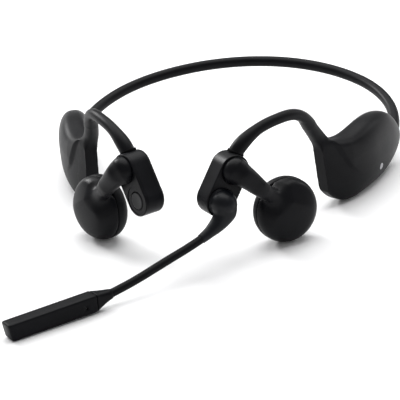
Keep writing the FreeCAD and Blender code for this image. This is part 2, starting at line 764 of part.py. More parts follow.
def make_boom():
    pin = from_pod(make_swivel_pin(LOWER))
    stem = tube(STEM_ROUTE, [STEM_RADIUS, STEM_RADIUS], 20)
    wire = tube(STEM_ROUTE, [WIRE_RADIUS, WIRE_RADIUS], 20)
    save("boom_swivel_pin", pin)
    save("boom_clip", from_pod(make_swivel_clip(LOWER)))
    save("boom_washer", from_pod(make_swivel_washer(LOWER)))
    save("boom_pivot", make_boom_pivot(stem, pin))
    save("boom_stem", stem.cut(wire))
    save("boom_core_wire", wire)
    save("mic_collar", make_collar(stem))
    bar, board, capsule = make_microphone()
    save("mic_housing", bar)
    save("mic_board", board)
    save("mic_capsule", capsule)


os.makedirs("parts", exist_ok=True)
band_solid = make_neckband()
hook_solid = make_hook()
make_housings(hook_solid, band_solid)
make_pods(hook_solid)
make_earpieces()
make_boom()
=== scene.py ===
import json
import math

import bmesh
import bpy
import numpy as np
from mathutils import Matrix, Vector


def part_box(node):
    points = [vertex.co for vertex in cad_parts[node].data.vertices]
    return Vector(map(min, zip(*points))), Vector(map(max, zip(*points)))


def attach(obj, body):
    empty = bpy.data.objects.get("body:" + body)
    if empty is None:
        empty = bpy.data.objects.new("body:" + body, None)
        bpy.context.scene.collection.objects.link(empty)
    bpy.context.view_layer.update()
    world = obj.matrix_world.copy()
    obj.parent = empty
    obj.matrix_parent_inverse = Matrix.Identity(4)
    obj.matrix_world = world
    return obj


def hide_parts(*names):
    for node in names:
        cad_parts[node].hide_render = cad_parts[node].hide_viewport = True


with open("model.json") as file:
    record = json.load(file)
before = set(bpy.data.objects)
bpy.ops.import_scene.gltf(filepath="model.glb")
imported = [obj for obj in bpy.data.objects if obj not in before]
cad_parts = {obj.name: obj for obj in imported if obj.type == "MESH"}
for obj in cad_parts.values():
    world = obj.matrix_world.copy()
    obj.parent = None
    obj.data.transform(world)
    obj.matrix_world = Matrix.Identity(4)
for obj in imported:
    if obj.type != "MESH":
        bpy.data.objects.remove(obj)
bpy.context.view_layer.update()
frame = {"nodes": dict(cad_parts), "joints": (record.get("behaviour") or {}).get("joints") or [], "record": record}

# Looks of an open-ear headset with a boom microphone: one soft skin per side, earpieces, key cap,
# boom and finishes laid over the CAD frame. Metres. MM turns a size in millimetres into metres.
MM = 0.001
SIDES = {"left": 1, "right": -1}

SKIN_VOXEL = 0.30 * MM
EARPIECE_VOXEL = 0.22 * MM
BAND_RADIUS = 2.05 * MM
EAR_RADIUS = 11.65 * MM
EAR_DOME_HEIGHT = 7.1 * MM
EAR_PAD_DEPTH = 5.9 * MM
SEAM_GAP = 0.12 * MM
POD_LENGTH = 22.8 * MM
LIGHT_RADIUS = 1.2 * MM
CONTACT_RADIUS = 0.9 * MM
CONTACT_OFFSET = 2.0 * MM          # each charging contact from the middle of the pair
GAP = 0.12 * MM
FOOT_FLOOR = -0.45 * MM            # underside of a swivelling foot, from the pod's face
FOOT_RADIUS = 4.9 * MM
ROOT_VOXEL = 0.17 * MM

SMOOTHING_STEP = 0.52
SWELLING_STEP = -0.54
MELTING_STEP = 0.5
FULL_MELT_SHARE = 1.6              # above 1, so that the middle of a spot melts fully


# ---------------------------------------------------------------- places taken from the frame
def joint(name):
    return next(j for j in frame["joints"] if j["name"] == name)


def mount(name):
    return next(m for m in frame["record"]["mounts"] if m["name"] == name)


def centre(node):
    low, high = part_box(node)
    return (low + high) / 2


pod_out = Vector(joint("left_earpiece_swivel")["axis"]).normalized()
upper_pocket = Vector(joint("left_earpiece_swivel")["pos_m"])
lower_pocket = Vector(joint("boom_swivel")["pos_m"])
pod_up = (upper_pocket - lower_pocket).normalized()
pod_back = pod_up.cross(pod_out).normalized()
pod_middle = centre("left_pod_case")
pad_face = Vector(mount("left_pad_face")["pos_m"])
ear_seam = pad_face + pod_out * EAR_PAD_DEPTH


def local_frame(origin):
    """Matrix from pod directions (back, up, out) at origin to the headset."""
    matrix = Matrix((pod_back, pod_up, pod_out)).transposed().to_4x4()
    matrix.translation = origin
    return matrix


MIRROR = Matrix.Diagonal((-1, 1, 1, 1))


# ---------------------------------------------------------------- mesh helpers
def new_object(name, mesh):
    made = bpy.data.objects.new(name, mesh)
    bpy.context.scene.collection.objects.link(made)
    return made


def mesh_from(name, points, faces):
    mesh = bpy.data.meshes.new(name)
    mesh.from_pydata([tuple(p) for p in points], [], faces)
    mesh.update()
    return mesh


def smooth_shaded(mesh):
    mesh.polygons.foreach_set("use_smooth", [True] * len(mesh.polygons))
    mesh.update()


def joined(name, meshes):
    """One object holding copies of several meshes."""
    work = bmesh.new()
    for mesh in meshes:
        work.from_mesh(mesh)
    mesh = bpy.data.meshes.new(name)
    work.to_mesh(mesh)
    work.free()
    return new_object(name, mesh)


def applied(piece):
    """Bake a piece's modifiers into its mesh."""
    bpy.context.view_layer.update()
    graph = bpy.context.evaluated_depsgraph_get()
    mesh = bpy.data.meshes.new_from_object(piece.evaluated_get(graph))
    piece.modifiers.clear()
    piece.data = mesh
    return piece


def outer_shell(piece):
    """Keep the connected part with the largest box, which drops hollows inside."""
    work = bmesh.new()
    work.from_mesh(piece.data)
    unseen = set(work.verts)
    best = None
    best_size = -1.0
    while unseen:
        start = unseen.pop()
        group = [start]
        stack = [start]
        while stack:
            for edge in stack.pop().link_edges:
                for vertex in edge.verts:
                    if vertex in unseen:
                        unseen.discard(vertex)
                        group.append(vertex)
                        stack.append(vertex)
        spread = np.ptp(np.array([v.co for v in group]), axis=0)
        size = float(np.linalg.norm(spread))
        if size > best_size:
            best, best_size = set(group), size
    bmesh.ops.delete(work, geom=[v for v in work.verts if v not in best], context="VERTS")
    work.to_mesh(piece.data)
    work.free()
    return piece


def remeshed(piece, voxel):
    modifier = piece.modifiers.new("voxels", "REMESH")
    modifier.mode = "VOXEL"
    modifier.voxel_size = voxel
    modifier.adaptivity = 0
    return outer_shell(applied(piece))


def coordinates(mesh):
    flat = np.zeros(len(mesh.vertices) * 3)
    mesh.vertices.foreach_get("co", flat)
    return flat.reshape(-1, 3)


def set_coordinates(mesh, points):
    mesh.vertices.foreach_set("co", points.astype(np.float32).ravel())
    mesh.update()


def neighbour_mean(mesh):
    """Function that turns vertex positions into the mean position of each one's neighbours."""
    edges = np.zeros(len(mesh.edges) * 2, dtype=np.int64)
    mesh.edges.foreach_get("vertices", edges)
    first, second = edges[0::2], edges[1::2]
    count = len(mesh.vertices)
    neighbours = np.bincount(first, minlength=count) + np.bincount(second, minlength=count)
    neighbours = np.maximum(neighbours, 1)[:, None]

    def mean(points):
        total = np.zeros_like(points)
        for axis in range(3):
            total[:, axis] = np.bincount(first, points[second, axis], minlength=count)
            total[:, axis] += np.bincount(second, points[first, axis], minlength=count)
        return total / neighbours

    return mean


def relaxed(piece, rounds):
    """Even out a mesh without shrinking it: a smoothing step, then one that swells back."""
    points = coordinates(piece.data)
    mean = neighbour_mean(piece.data)
    for _ in range(rounds):
        for share in (SMOOTHING_STEP, SWELLING_STEP):
            points = points + share * (mean(points) - points)
    set_coordinates(piece.data, points)


def softened(piece, spots, rounds):
    """Melt creases together near some spots, given as (place, reach)."""
    points = coordinates(piece.data)
    weight = np.zeros(len(points))
    for place, reach in spots:
        away = np.linalg.norm(points - np.array(place), axis=1) / reach
        weight = np.maximum(weight, np.clip(FULL_MELT_SHARE * (1 - away ** 2), 0, 1))
    mean = neighbour_mean(piece.data)
    for _ in range(rounds):
        points = points + MELTING_STEP * weight[:, None] * (mean(points) - points)
    set_coordinates(piece.data, points)


def carved(piece, cutter):
    """Cut a shape out of the piece and drop the cutter."""
    modifier = piece.modifiers.new("cut", "BOOLEAN")
    modifier.operation = "DIFFERENCE"
    modifier.solver = "EXACT"
    modifier.object = cutter
    applied(piece)
    bpy.data.objects.remove(cutter)


def smooth_route(points, steps):
    """Points along a Catmull-Rom curve through the given ones."""
    points = [Vector(p) for p in points]
    ends = [points[0] * 2 - points[1]] + points + [points[-1] * 2 - points[-2]]
    made = []
    for index in range(len(points) - 1):
        a, b, c, d = ends[index:index + 4]
        for step in range(steps):
            t = step / steps
            made.append(0.5 * ((2 * b) + (c - a) * t + (2 * a - 5 * b + 4 * c - d) * t ** 2
                               + (3 * b - a - 3 * c + d) * t ** 3))
    made.append(points[-1])
    return made


def spread_values(values, count):
    places = np.linspace(0, len(values) - 1, count)
    return np.interp(places, np.arange(len(values)), values)


def superellipse_point(width, height, power, angle):
    """Point of a superellipse of these half sizes; a power of 2 is an ellipse, more is squarer."""
    c, s = math.cos(angle), math.sin(angle)
    across = width * math.copysign(abs(c) ** (2 / power), c)
    upwards = height * math.copysign(abs(s) ** (2 / power), s)
    return across, upwards


def tube_faces(rings, sides):
    """Faces of a closed tube whose points come ring by ring, with a cap on each end."""
    faces = []
    for ring in range(rings - 1):
        for corner in range(sides):
            a = ring * sides + corner
            b = ring * sides + (corner + 1) % sides
            faces.append((a, b, b + sides, a + sides))
    faces.append(tuple(reversed(range(sides))))
    last = (rings - 1) * sides
    faces.append(tuple(range(last, last + sides)))
    return faces


def sweep(name, route, widths, heights, side_hint, power=(2.0, 2.0), sides=40):
    """Closed bar along a route; its superellipse section may change in size and squareness."""
    widths = spread_values(widths, len(route))
    heights = spread_values(heights, len(route))
    powers = spread_values(power, len(route))
    points = []
    side = Vector(side_hint)
    for index, place in enumerate(route):
        before = route[max(index - 1, 0)]
        after = route[min(index + 1, len(route) - 1)]
        along = (after - before).normalized()
        side = (side - along * side.dot(along)).normalized()
        up = along.cross(side)
        for corner in range(sides):
            angle = 2 * math.pi * corner / sides
            u, v = superellipse_point(widths[index], heights[index], powers[index], angle)
            points.append(place + side * u + up * v)
    return mesh_from(name, points, tube_faces(len(route), sides))


def turned(name, outline, sides=96):
    """Closed solid turned about Z from (radius, level) points that start and end on the axis."""
    points = [Vector((0, 0, outline[0][1]))]
    for radius, level in outline[1:-1]:
        for step in range(sides):
            angle = 2 * math.pi * step / sides
            points.append(Vector((radius * math.cos(angle), radius * math.sin(angle), level)))
    points.append(Vector((0, 0, outline[-1][1])))
    faces = []
    rings = len(outline) - 2
    for step in range(sides):
        after = (step + 1) % sides
        faces.append((0, 1 + after, 1 + step))
        for ring in range(rings - 1):
            low = 1 + ring * sides
            faces.append((low + step, low + after, low + after + sides, low + step + sides))
        top = 1 + (rings - 1) * sides
        faces.append((top + step, top + after, len(points) - 1))
    return mesh_from(name, points, faces)


def outward_normals(mesh):
    """Make every face of a closed mesh point outwards."""
    work = bmesh.new()
    work.from_mesh(mesh)
    bmesh.ops.recalc_face_normals(work, faces=work.faces)
    work.to_mesh(mesh)
    work.free()
    return mesh


def placed(mesh, matrix):
    mesh.transform(matrix)
    return outward_normals(mesh)


def for_side(piece, side):
    """Mirror a piece that was made on the left when the right one is wanted."""
    if side == "right":
        piece.data.transform(MIRROR)
        outward_normals(piece.data)
    return piece


def dressed(piece, body, slot, material, *nodes):
    """Give a piece its finish, its body and the CAD nodes that it stands for."""
    smooth_shaded(piece.data)
    piece.data.materials.clear()
    piece.data.materials.append(material)
    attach(piece, body)
    if nodes:
        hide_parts(*nodes)


# ---------------------------------------------------------------- materials
def moulded(name, dark, light, roughness, grain, grain_depth, coat=0.0, sheen=0.0, metallic=0.0,
            gleam=0.5):
    """Moulded surface: two close tones, uneven gloss, fine grain and rubbed edges."""
    material = bpy.data.materials.new(name)
    material.use_nodes = True
    nodes = material.node_tree.nodes
    links = material.node_tree.links
    shader = nodes["Principled BSDF"]
    place = nodes.new("ShaderNodeTexCoord")

    cloud = nodes.new("ShaderNodeTexNoise")
    cloud.inputs["Scale"].default_value = 140
    cloud.inputs["Detail"].default_value = 5
    links.new(place.outputs["Object"], cloud.inputs["Vector"])
    tone = nodes.new("ShaderNodeValToRGB")
    tone.color_ramp.elements[0].position = 0.32
    tone.color_ramp.elements[0].color = (*dark, 1)
    tone.color_ramp.elements[1].position = 0.70
    tone.color_ramp.elements[1].color = (*light, 1)
    links.new(cloud.outputs["Fac"], tone.inputs["Fac"])

    edge = nodes.new("ShaderNodeNewGeometry")
    rub = nodes.new("ShaderNodeMapRange")
    rub.inputs["From Min"].default_value = 0.54
    rub.inputs["From Max"].default_value = 0.64
    rub.inputs["To Max"].default_value = 0.35
    links.new(edge.outputs["Pointiness"], rub.inputs["Value"])
    worn = nodes.new("ShaderNodeMix")
    worn.data_type = "RGBA"
    worn.inputs[7].default_value = (*[min(c * 1.9 + 0.01, 1) for c in light], 1)
    links.new(rub.outputs["Result"], worn.inputs[0])
    links.new(tone.outputs["Color"], worn.inputs[6])
    links.new(worn.outputs[2], shader.inputs["Base Color"])

    gloss = nodes.new("ShaderNodeMapRange")
    gloss.inputs["To Min"].default_value = roughness - 0.06
    gloss.inputs["To Max"].default_value = roughness + 0.08
    links.new(cloud.outputs["Fac"], gloss.inputs["Value"])
    links.new(gloss.outputs["Result"], shader.inputs["Roughness"])

    fine = nodes.new("ShaderNodeTexNoise")
    fine.inputs["Scale"].default_value = grain
    fine.inputs["Detail"].default_value = 3
    links.new(place.outputs["Object"], fine.inputs["Vector"])
    bump = nodes.new("ShaderNodeBump")
    bump.inputs["Strength"].default_value = 0.5
    bump.inputs["Distance"].default_value = grain_depth
    links.new(fine.outputs["Fac"], bump.inputs["Height"])
    links.new(bump.outputs["Normal"], shader.inputs["Normal"])

    shader.inputs["Specular IOR Level"].default_value = gleam
    shader.inputs["Metallic"].default_value = metallic
    shader.inputs["Coat Weight"].default_value = coat
    shader.inputs["Coat Roughness"].default_value = 0.35
    shader.inputs["Sheen Weight"].default_value = sheen
    shader.inputs["Sheen Roughness"].default_value = 0.5
    return material


SKIN_DARK, SKIN_LIGHT = (0.0024, 0.0025, 0.0033), (0.0044, 0.0046, 0.0060)
CASE_DARK, CASE_LIGHT = (0.0022, 0.0023, 0.0031), (0.0040, 0.0042, 0.0056)
ROOT_DARK, ROOT_LIGHT = (0.0026, 0.0031, 0.0044), (0.0044, 0.0052, 0.0076)
# Near-black tones: the washer's own rubber, and painted shade of the seam round each ear hook.
GAP_SHADE_AND_WASHER_DARK, GAP_SHADE_AND_WASHER_LIGHT = (0.0008, 0.0008, 0.001), (0.0014, 0.0014, 0.0018)
# name, dark tone, light tone, roughness, grain scale, grain depth
skin_black = moulded("skin_black", SKIN_DARK, SKIN_LIGHT, 0.42, 5200, 0.03 * MM, gleam=0.10)
pad_black = moulded("pad_black", CASE_DARK, CASE_LIGHT, 0.50, 4200, 0.035 * MM, gleam=0.10)
case_black = moulded("case_black", CASE_DARK, CASE_LIGHT, 0.38, 6500, 0.025 * MM, gleam=0.11)
boom_black = moulded("boom_black", CASE_DARK, CASE_LIGHT, 0.40, 6000, 0.03 * MM, gleam=0.08)
root_black = moulded("root_black", ROOT_DARK, ROOT_LIGHT, 0.36, 6000, 0.03 * MM, gleam=0.17)
button_black = moulded("button_black", SKIN_DARK, SKIN_LIGHT, 0.36, 7000, 0.02 * MM, gleam=0.18)
gap_shade_and_washer_black = moulded("gap_shade_and_washer_black", GAP_SHADE_AND_WASHER_DARK, GAP_SHADE_AND_WASHER_LIGHT, 0.7, 5000, 0.02 * MM, gleam=0.08)
lens_white = moulded("lens_white", (0.26, 0.26, 0.28), (0.36, 0.36, 0.38),
                     0.3, 3000, 0.005 * MM, coat=0.3)
contact_gold = moulded("contact_gold", (0.72, 0.50, 0.22), (0.83, 0.60, 0.29),
                       0.28, 6000, 0.01 * MM, metallic=1.0)
steel = moulded("steel", (0.45, 0.45, 0.46), (0.56, 0.56, 0.57),
                0.32, 5000, 0.01 * MM, metallic=1.0)
magnet_nickel = moulded("magnet_nickel", (0.52, 0.50, 0.46), (0.62, 0.60, 0.56),
                        0.2, 5000, 0.01 * MM, metallic=1.0)
copper = moulded("copper", (0.60, 0.27, 0.14), (0.72, 0.35, 0.20),
                 0.35, 9000, 0.03 * MM, metallic=1.0)
board_green = moulded("board_green", (0.02, 0.09, 0.05), (0.03, 0.13, 0.07),
                      0.35, 2500, 0.02 * MM, coat=0.4)
battery_silver = moulded("battery_silver", (0.30, 0.31, 0.33), (0.40, 0.41, 0.43),
                         0.3, 900, 0.04 * MM, metallic=0.7)
switch_grey = moulded("switch_grey", (0.20, 0.20, 0.21), (0.28, 0.28, 0.29),
                      0.4, 5000, 0.01 * MM)
cable_grey = moulded("cable_grey", (0.05, 0.05, 0.055), (0.07, 0.07, 0.075),
                     0.5, 5000, 0.02 * MM)

FINISHES = {
    "soft_skin": skin_black,
    "shell_plastic": case_black,
    "ear_pad_rubber": pad_black,
    "button_plastic": button_black,
    "light_lens": lens_white,
    "spring_steel": steel,
    "pin_steel": steel,
    "magnet": magnet_nickel,
    "copper": copper,
    "cable_jacket": cable_grey,
    "circuit_board": board_green,
    "battery_wrap": battery_silver,
    "switch_body": switch_grey,
    "washer_rubber": gap_shade_and_washer_black,
}


def finish_cad_nodes():
    """Every CAD node takes the finish of its slot in the record."""
    slots = {part["node"]: part["material_slot"] for part in frame["record"]["subparts"]}
    for name, node in frame["nodes"].items():
        material = FINISHES[slots[name]]
        if name == "charging_contacts":
            material = contact_gold
        node.data.materials.clear()
        node.data.materials.append(material)


# ---------------------------------------------------------------- skin over hook and housing
# Fold between the ear stem and the housing's lobe, on the outer face: levels and places back,
# in millimetres, with the direction in which that face looks.
FOLD_LEVELS = (9.0, 10.5, 14.0, 19.5, 24.0, 27.5)
FOLD_PLACES = (10.0, 7.6, 4.6, 2.0, 0.2, -0.8)
FOLD_LOOKS = (0.92, -0.38, 0.0)
FOLD_WIDTH = 1.5
LOBE_RISE = 0.75
STEM_SINK = 0.35
# Where the ear hook runs into the housing; the crease there is melted away.
STEM_CREASE = Vector((41.2, -1.8, 29.8)) * MM


def fold_in(piece):
    """Sink the outer face in front of the fold, so that the lobe behind it stands proud."""
    points = coordinates(piece.data) / MM
    normals = np.array([v.normal for v in piece.data.vertices])
    looks = np.array(FOLD_LOOKS)
    outward = np.clip(normals[:, 0] * looks[0] + normals[:, 1] * looks[1], 0, 1)
    y, z = points[:, 1], points[:, 2]
    behind = (y - np.interp(z, FOLD_LEVELS, FOLD_PLACES)) / FOLD_WIDTH
    step = np.clip(behind, 0, 1)
    step = step * step * (3 - 2 * step)
    fade = np.clip((z - 9.0) / 8.0, 0, 1) * np.clip((30.0 - z) / 3.0, 0, 1)
    lobe = step * np.exp(-np.clip(y - 6.0, 0, None) / 9.0)
    stem = (1 - step) * np.clip((9.0 - y) / 4.0, 0, 1)
    height = (LOBE_RISE * lobe - STEM_SINK * stem) * outward * fade
    set_coordinates(piece.data, (points + height[:, None] * looks) * MM)


def make_stem_blend():
    """Where the round ear hook squares up into the flat-fronted stem, in millimetres."""
    places = [(38.3, -9.4, 39.0), (39.1, -6.5, 35.8), (40.0, -3.6, 32.2), (41.1, -1.0, 28.6),
              (42.5, 0.6, 24.4), (43.4, 1.5, 19.0)]
    route = smooth_route([Vector(p) * MM for p in places], 8)
    widths = [w * MM for w in (2.05, 2.4, 2.7, 2.75, 2.55, 2.3)]
    heights = [h * MM for h in (2.05, 2.3, 2.5, 2.6, 2.6, 2.3)]
    squareness = (2.0, 2.2, 2.8, 4.0, 5.5, 6.0)
    across = Vector((0.866, -0.5, 0))
    return outward_normals(sweep("stem_blend", route, widths, heights, across, squareness))


def drill(name, place, direction, radius, depth, above):
    """Round cutter that reaches from above the surface at place down to depth."""
    outline = [(0, -depth), (radius, -depth), (radius, above), (0, above)]
    turn = direction.to_track_quat("Z", "Y").to_matrix().to_4x4()
    turn.translation = place
    return new_object(name, placed(turned(name, outline, 48), turn))


def slot_cutter(name, middle, along, length, width, low, high):
    """Round-ended upright prism."""
    across = Vector((-along.y, along.x, 0))
    half = length / 2 - width / 2
    outline = []
    for step in range(24):
        angle = 2 * math.pi * (step + 0.5) / 24
        end = half if math.cos(angle) > 0 else -half
        u = end + width / 2 * math.cos(angle)
        outline.append(middle + along * u + across * (width / 2 * math.sin(angle)))
    points = [Vector((p.x, p.y, level)) for level in (low, high) for p in outline]
    faces = [tuple(range(24)), tuple(range(24, 48))]
    faces += [(i, (i + 1) % 24, 24 + (i + 1) % 24, 24 + i) for i in range(24)]
    return new_object(name, outward_normals(mesh_from(name, points, faces)))


def make_skin(side):
    """One soft skin from the pod over the ear hook and round the housing."""
    own = [side + "_hook_sleeve", side + "_housing_outer", side + "_housing_inner"]
    plugs = ["neckband_sleeve"]
    if side == "left":
        plugs += ["status_light", "charging_contacts", "volume_up_button", "volume_down_button"]
    sources = []
    for name in own + plugs:
        mesh = frame["nodes"][name].data.copy()
        if name == "neckband_sleeve":
            work = bmesh.new()
            work.from_mesh(mesh)
            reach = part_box(side + "_housing_outer")[1].y - 3 * MM
            far = [v for v in work.verts if v.co.y > reach or v.co.x * SIDES[side] < 0]
            bmesh.ops.delete(work, geom=far, context="VERTS")
            work.to_mesh(mesh)
            work.free()
        if side == "right":
            mesh.transform(MIRROR)
        sources.append(mesh)
    sources.append(make_stem_blend())
    piece = remeshed(joined(side + "_skin", sources), SKIN_VOXEL)
    relaxed(piece, 6)
    fold_in(piece)
    softened(piece, [(STEM_CREASE, 7.0 * MM)], 80)
    relaxed(piece, 3)
    if side == "left":
        up_button = centre("volume_up_button")
        down_button = centre("volume_down_button")
        along = (up_button - down_button).normalized()
        for name, middle in (("up_slot", up_button), ("down_slot", down_button)):
            cutter = slot_cutter(name, middle, along, 7.5 * MM, 3.7 * MM, -2 * MM, 1.75 * MM)
            carved(piece, cutter)
        across = Vector((along.y, -along.x, 0))
        light = centre("status_light")
        carved(piece, drill("light_hole", light, across, LIGHT_RADIUS + GAP, 0.9 * MM, 4 * MM))
        for sign in (-1, 1):
            contact = centre("charging_contacts") + along * sign * CONTACT_OFFSET
            radius = CONTACT_RADIUS + GAP
            carved(piece, drill("contact_hole", contact, -across, radius, 0.9 * MM, 4 * MM))
    return for_side(piece, side)


def make_hook_seam_shade_ring(side):
    """Low ring where the ear hook comes out of the pod, coloured near-black as painted shade of the seam there."""
    outline = [(0, -0.5), (2.95, -0.5), (3.05, 0.15), (3.0, 0.42), (2.8, 0.55), (0, 0.55)]
    turn = pod_up.to_track_quat("Z", "Y").to_matrix().to_4x4()
    turn.translation = pod_middle + pod_up * POD_LENGTH / 2
    mesh = placed(turned(side + "_hook_seam_shade_ring", [(r * MM, z * MM) for r, z in outline]), turn)
    ring = for_side(new_object(side + "_hook_seam_shade_ring", mesh), side)
    # Painted shade: the ring is darker than the skin so that it reads as the shaded seam.
    dressed(ring, "headset", "soft_skin", gap_shade_and_washer_black)


for side in SIDES:
    make_hook_seam_shade_ring(side)
    skin = make_skin(side)
    dressed(skin, "headset", "soft_skin", skin_black,
            side + "_hook_sleeve", side + "_housing_outer", side + "_housing_inner")


# ---------------------------------------------------------------- neckband
def band_route():
    """Centreline of the band: straight ends, two corner arcs and the long arc at the nape."""
    low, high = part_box("neckband_sleeve")
    half_width = high.x - BAND_RADIUS
    corner = 51.0 * MM
    rise = 0.125
    slope = math.hypot(1, rise)
    start = Vector((0, 54.2 * MM, 7.7 * MM))
    depth = 53.9 * MM * slope
    side = half_width - corner
    nape = (side ** 2 + depth ** 2 - corner ** 2) / (2 * (depth - corner))
    turn = math.atan2(side, nape - depth)
    flat = [(half_width, -6 * MM), (half_width, -3 * MM)]
    sweep_angle = math.pi / 2 - turn
    for step in range(25):
        angle = sweep_angle * step / 24
        flat.append((side + corner * math.cos(angle), corner * math.sin(angle)))
    for step in range(1, 16):
        angle = turn * (1 - step / 16)
        flat.append((nape * math.sin(angle), depth - nape + nape * math.cos(angle)))
    flat += [(-u, v) for u, v in reversed(flat)]
    return [start + Vector((u, v / slope, v * rise / slope)) for u, v in flat]


def make_band():
    route = band_route()
    count = len(route)
    share = np.abs(np.linspace(-1, 1, count))
    thick = BAND_RADIUS * (0.985 + 0.05 * np.clip((share - 0.86) / 0.14, 0, 1))
    mesh = sweep("neckband", route, thick, thick * 0.99, (0, 0, 1), power=(2.15, 2.15), sides=48)
    piece = new_object("neckband", outward_normals(mesh))
    dressed(piece, "headset", "soft_skin", skin_black, "neckband_sleeve")


make_band()


# ---------------------------------------------------------------- earpieces
PLATEAU = 6.9                      # height of the facets over the seam, in millimetres
FACET_BLEND = 0.07
DOME_BLEND = 0.30


def facet_height(x, y):
    """Height of the outer dome above the seam, in millimetres: a dome trimmed by soft facets."""
    radius = EAR_RADIUS / MM
    r = np.hypot(x, y)
    rim = np.clip(1 - (r / radius) ** 2.5, 0, 1)
    dome = (EAR_DOME_HEIGHT / MM + 0.5) * rim ** 0.52
    outer = PLATEAU - 0.025 * x + 0.030 * y - 0.010 * r ** 2
    top = PLATEAU - 0.50 * (y - 3.9) - 0.012 * x ** 2
    front = PLATEAU + 0.74 * (x + 5.4) - 0.022 * (y + 1) ** 2
    nearness = sum(np.exp(-facet / FACET_BLEND) for facet in (outer, top, front))
    facets = -FACET_BLEND * np.log(nearness)
    return -DOME_BLEND * np.log(np.exp(-dome / DOME_BLEND) + np.exp(-facets / DOME_BLEND))


def make_dome_mesh():
    """Faceted dome over the driver, closed underneath; its rim rounds in to the seam."""
    rings = 40
    sides = 128
    radius = EAR_RADIUS / MM
    low = SEAM_GAP / MM
    points = [Vector((0, 0, max(float(facet_height(np.array(0.0), np.array(0.0))), low)))]
    for ring in range(1, rings + 1):
        r = radius * math.sin(math.pi / 2 * ring / rings)
        for step in range(sides):
            angle = 2 * math.pi * step / sides
            x, y = r * math.cos(angle), r * math.sin(angle)
            height = float(facet_height(np.array(x), np.array(y)))
            points.append(Vector((x, y, max(height, low + 0.3))))
    for inset, level in ((0.08, low + 0.1), (0.3, low), (2.0, low)):
        for step in range(sides):
            angle = 2 * math.pi * step / sides
            r = radius - inset
            points.append(Vector((r * math.cos(angle), r * math.sin(angle), level)))
    points.append(Vector((0, 0, low)))
    faces = []
    total = rings + 3
    for step in range(sides):
        after = (step + 1) % sides
        faces.append((0, 1 + step, 1 + after))
        for ring in range(total - 1):
            near, far = 1 + ring * sides, 1 + (ring + 1) * sides
            faces.append((near + step, far + step, far + after, near + after))
        last = 1 + (total - 1) * sides
        faces.append((last + after, last + step, len(points) - 1))
    mesh = mesh_from("dome", [p * MM for p in points], faces)
    return placed(mesh, local_frame(ear_seam))


def make_root_mesh():
    """Round foot and ball that turn in the pod's upper pocket."""
    floor = FOOT_FLOOR
    rim = FOOT_RADIUS
    outline = [(0, floor), (rim - 0.25 * MM, floor), (rim, floor + 0.25 * MM)]
    outline.append((rim, floor + 1.1 * MM))
    for step in range(1, 14):
        angle = math.pi / 2 * step / 14
        outline.append((rim * math.cos(angle), floor + 1.1 * MM + 4.1 * MM * math.sin(angle)))
    outline.append((0, floor + 5.2 * MM))
    return placed(turned("root", outline), local_frame(upper_pocket))


def make_neck_mesh():
    """Arm from the ball to the dome, in pod directions from the middle of the ear seam."""
    start_x, start_y, start_z = local_frame(ear_seam).inverted() @ upper_pocket / MM
    places = [
        (start_x + 0.6, start_y, start_z + 1.7),
        (-22.0, 5.1, 4.5),
        (-17.5, 4.0, 4.7),
        (-13.5, 3.3, 4.2),
        (-10.8, 3.0, 3.9),
        (-8.2, 2.9, 3.7),
        (-5.8, 2.8, 3.3),
    ]
    matrix = local_frame(ear_seam)
    route = smooth_route([matrix @ (Vector(p) * MM) for p in places], 8)
    widths = [w * MM for w in (4.5, 3.9, 3.15, 2.85, 2.75, 2.5, 2.0)]
    heights = [h * MM for h in (4.1, 3.6, 3.0, 2.7, 2.5, 2.3, 2.0)]
    return outward_normals(sweep("neck", route, widths, heights, pod_up, power=(2.2, 2.6, 2.9)))


def make_earpiece_shell(side):
    meshes = [make_root_mesh(), make_neck_mesh(), make_dome_mesh()]
    piece = joined(side + "_earpiece_shell_skin", meshes)
    remeshed(piece, EARPIECE_VOXEL)
    relaxed(piece, 5)
    ball = local_frame(upper_pocket) @ (Vector((3.6, -0.6, 4.4)) * MM)
    entry = local_frame(ear_seam) @ (Vector((-8.8, 2.9, 4.8)) * MM)
    softened(piece, [(ball, 6.6 * MM), (entry, 6.2 * MM)], 260)
    for_side(piece, side)
    dressed(piece, side + "_earpiece", "shell_plastic", case_black, side + "_earpiece_shell")


def make_ear_cushion(side):
    """Soft cup: flat where it meets the cheek, full at the edge, pulled in at the seam."""
    radius = EAR_RADIUS / MM
    depth = EAR_PAD_DEPTH / MM
    flat_radius = 7.4
    full_level = 1.35
    outline = [(0, -depth)]
    outline += [(r, -depth + 0.02 * (r / 8.0) ** 6) for r in (2.0, 4.0, 6.0, 7.2)]
    for step in range(1, 19):
        angle = math.pi / 2 * step / 18
        edge = flat_radius + (radius - flat_radius) * math.sin(angle)
        outline.append((edge, -full_level - (depth - full_level) * math.cos(angle)))
    outline += [(radius, -0.9), (radius - 0.03, -0.45), (radius - 0.16, -0.2)]
    outline += [(radius - 0.45, -0.1), (radius - 2.0, -0.1), (0, -0.1)]
    mesh = turned(side + "_ear_cushion", [(r * MM, z * MM) for r, z in outline], 128)
    placed(mesh, local_frame(ear_seam))
    piece = for_side(new_object(side + "_ear_cushion", mesh), side)
    dressed(piece, side + "_earpiece", "ear_pad_rubber", pad_black, side + "_ear_pad")


for side in SIDES:
    make_earpiece_shell(side)
    make_ear_cushion(side)


def make_button_cap():
    """Round key level with the pod's face, with a soft edge and a shallow dish."""
    outline = [(0, -1.9), (3.75, -1.9), (3.75, -1.1), (3.15, -1.1), (3.15, -0.3), (3.05, -0.13)]
    outline += [(2.8, -0.05), (2.4, -0.08), (1.6, -0.14), (0.8, -0.18), (0, -0.20)]
    mesh = turned("button_cap", [(r * MM, z * MM) for r, z in outline])
    placed(mesh, local_frame(lower_pocket))
    piece = for_side(new_object("button_cap", mesh), "right")
    dressed(piece, "multifunction_button", "button_plastic", button_black, "multifunction_button")


make_button_cap()


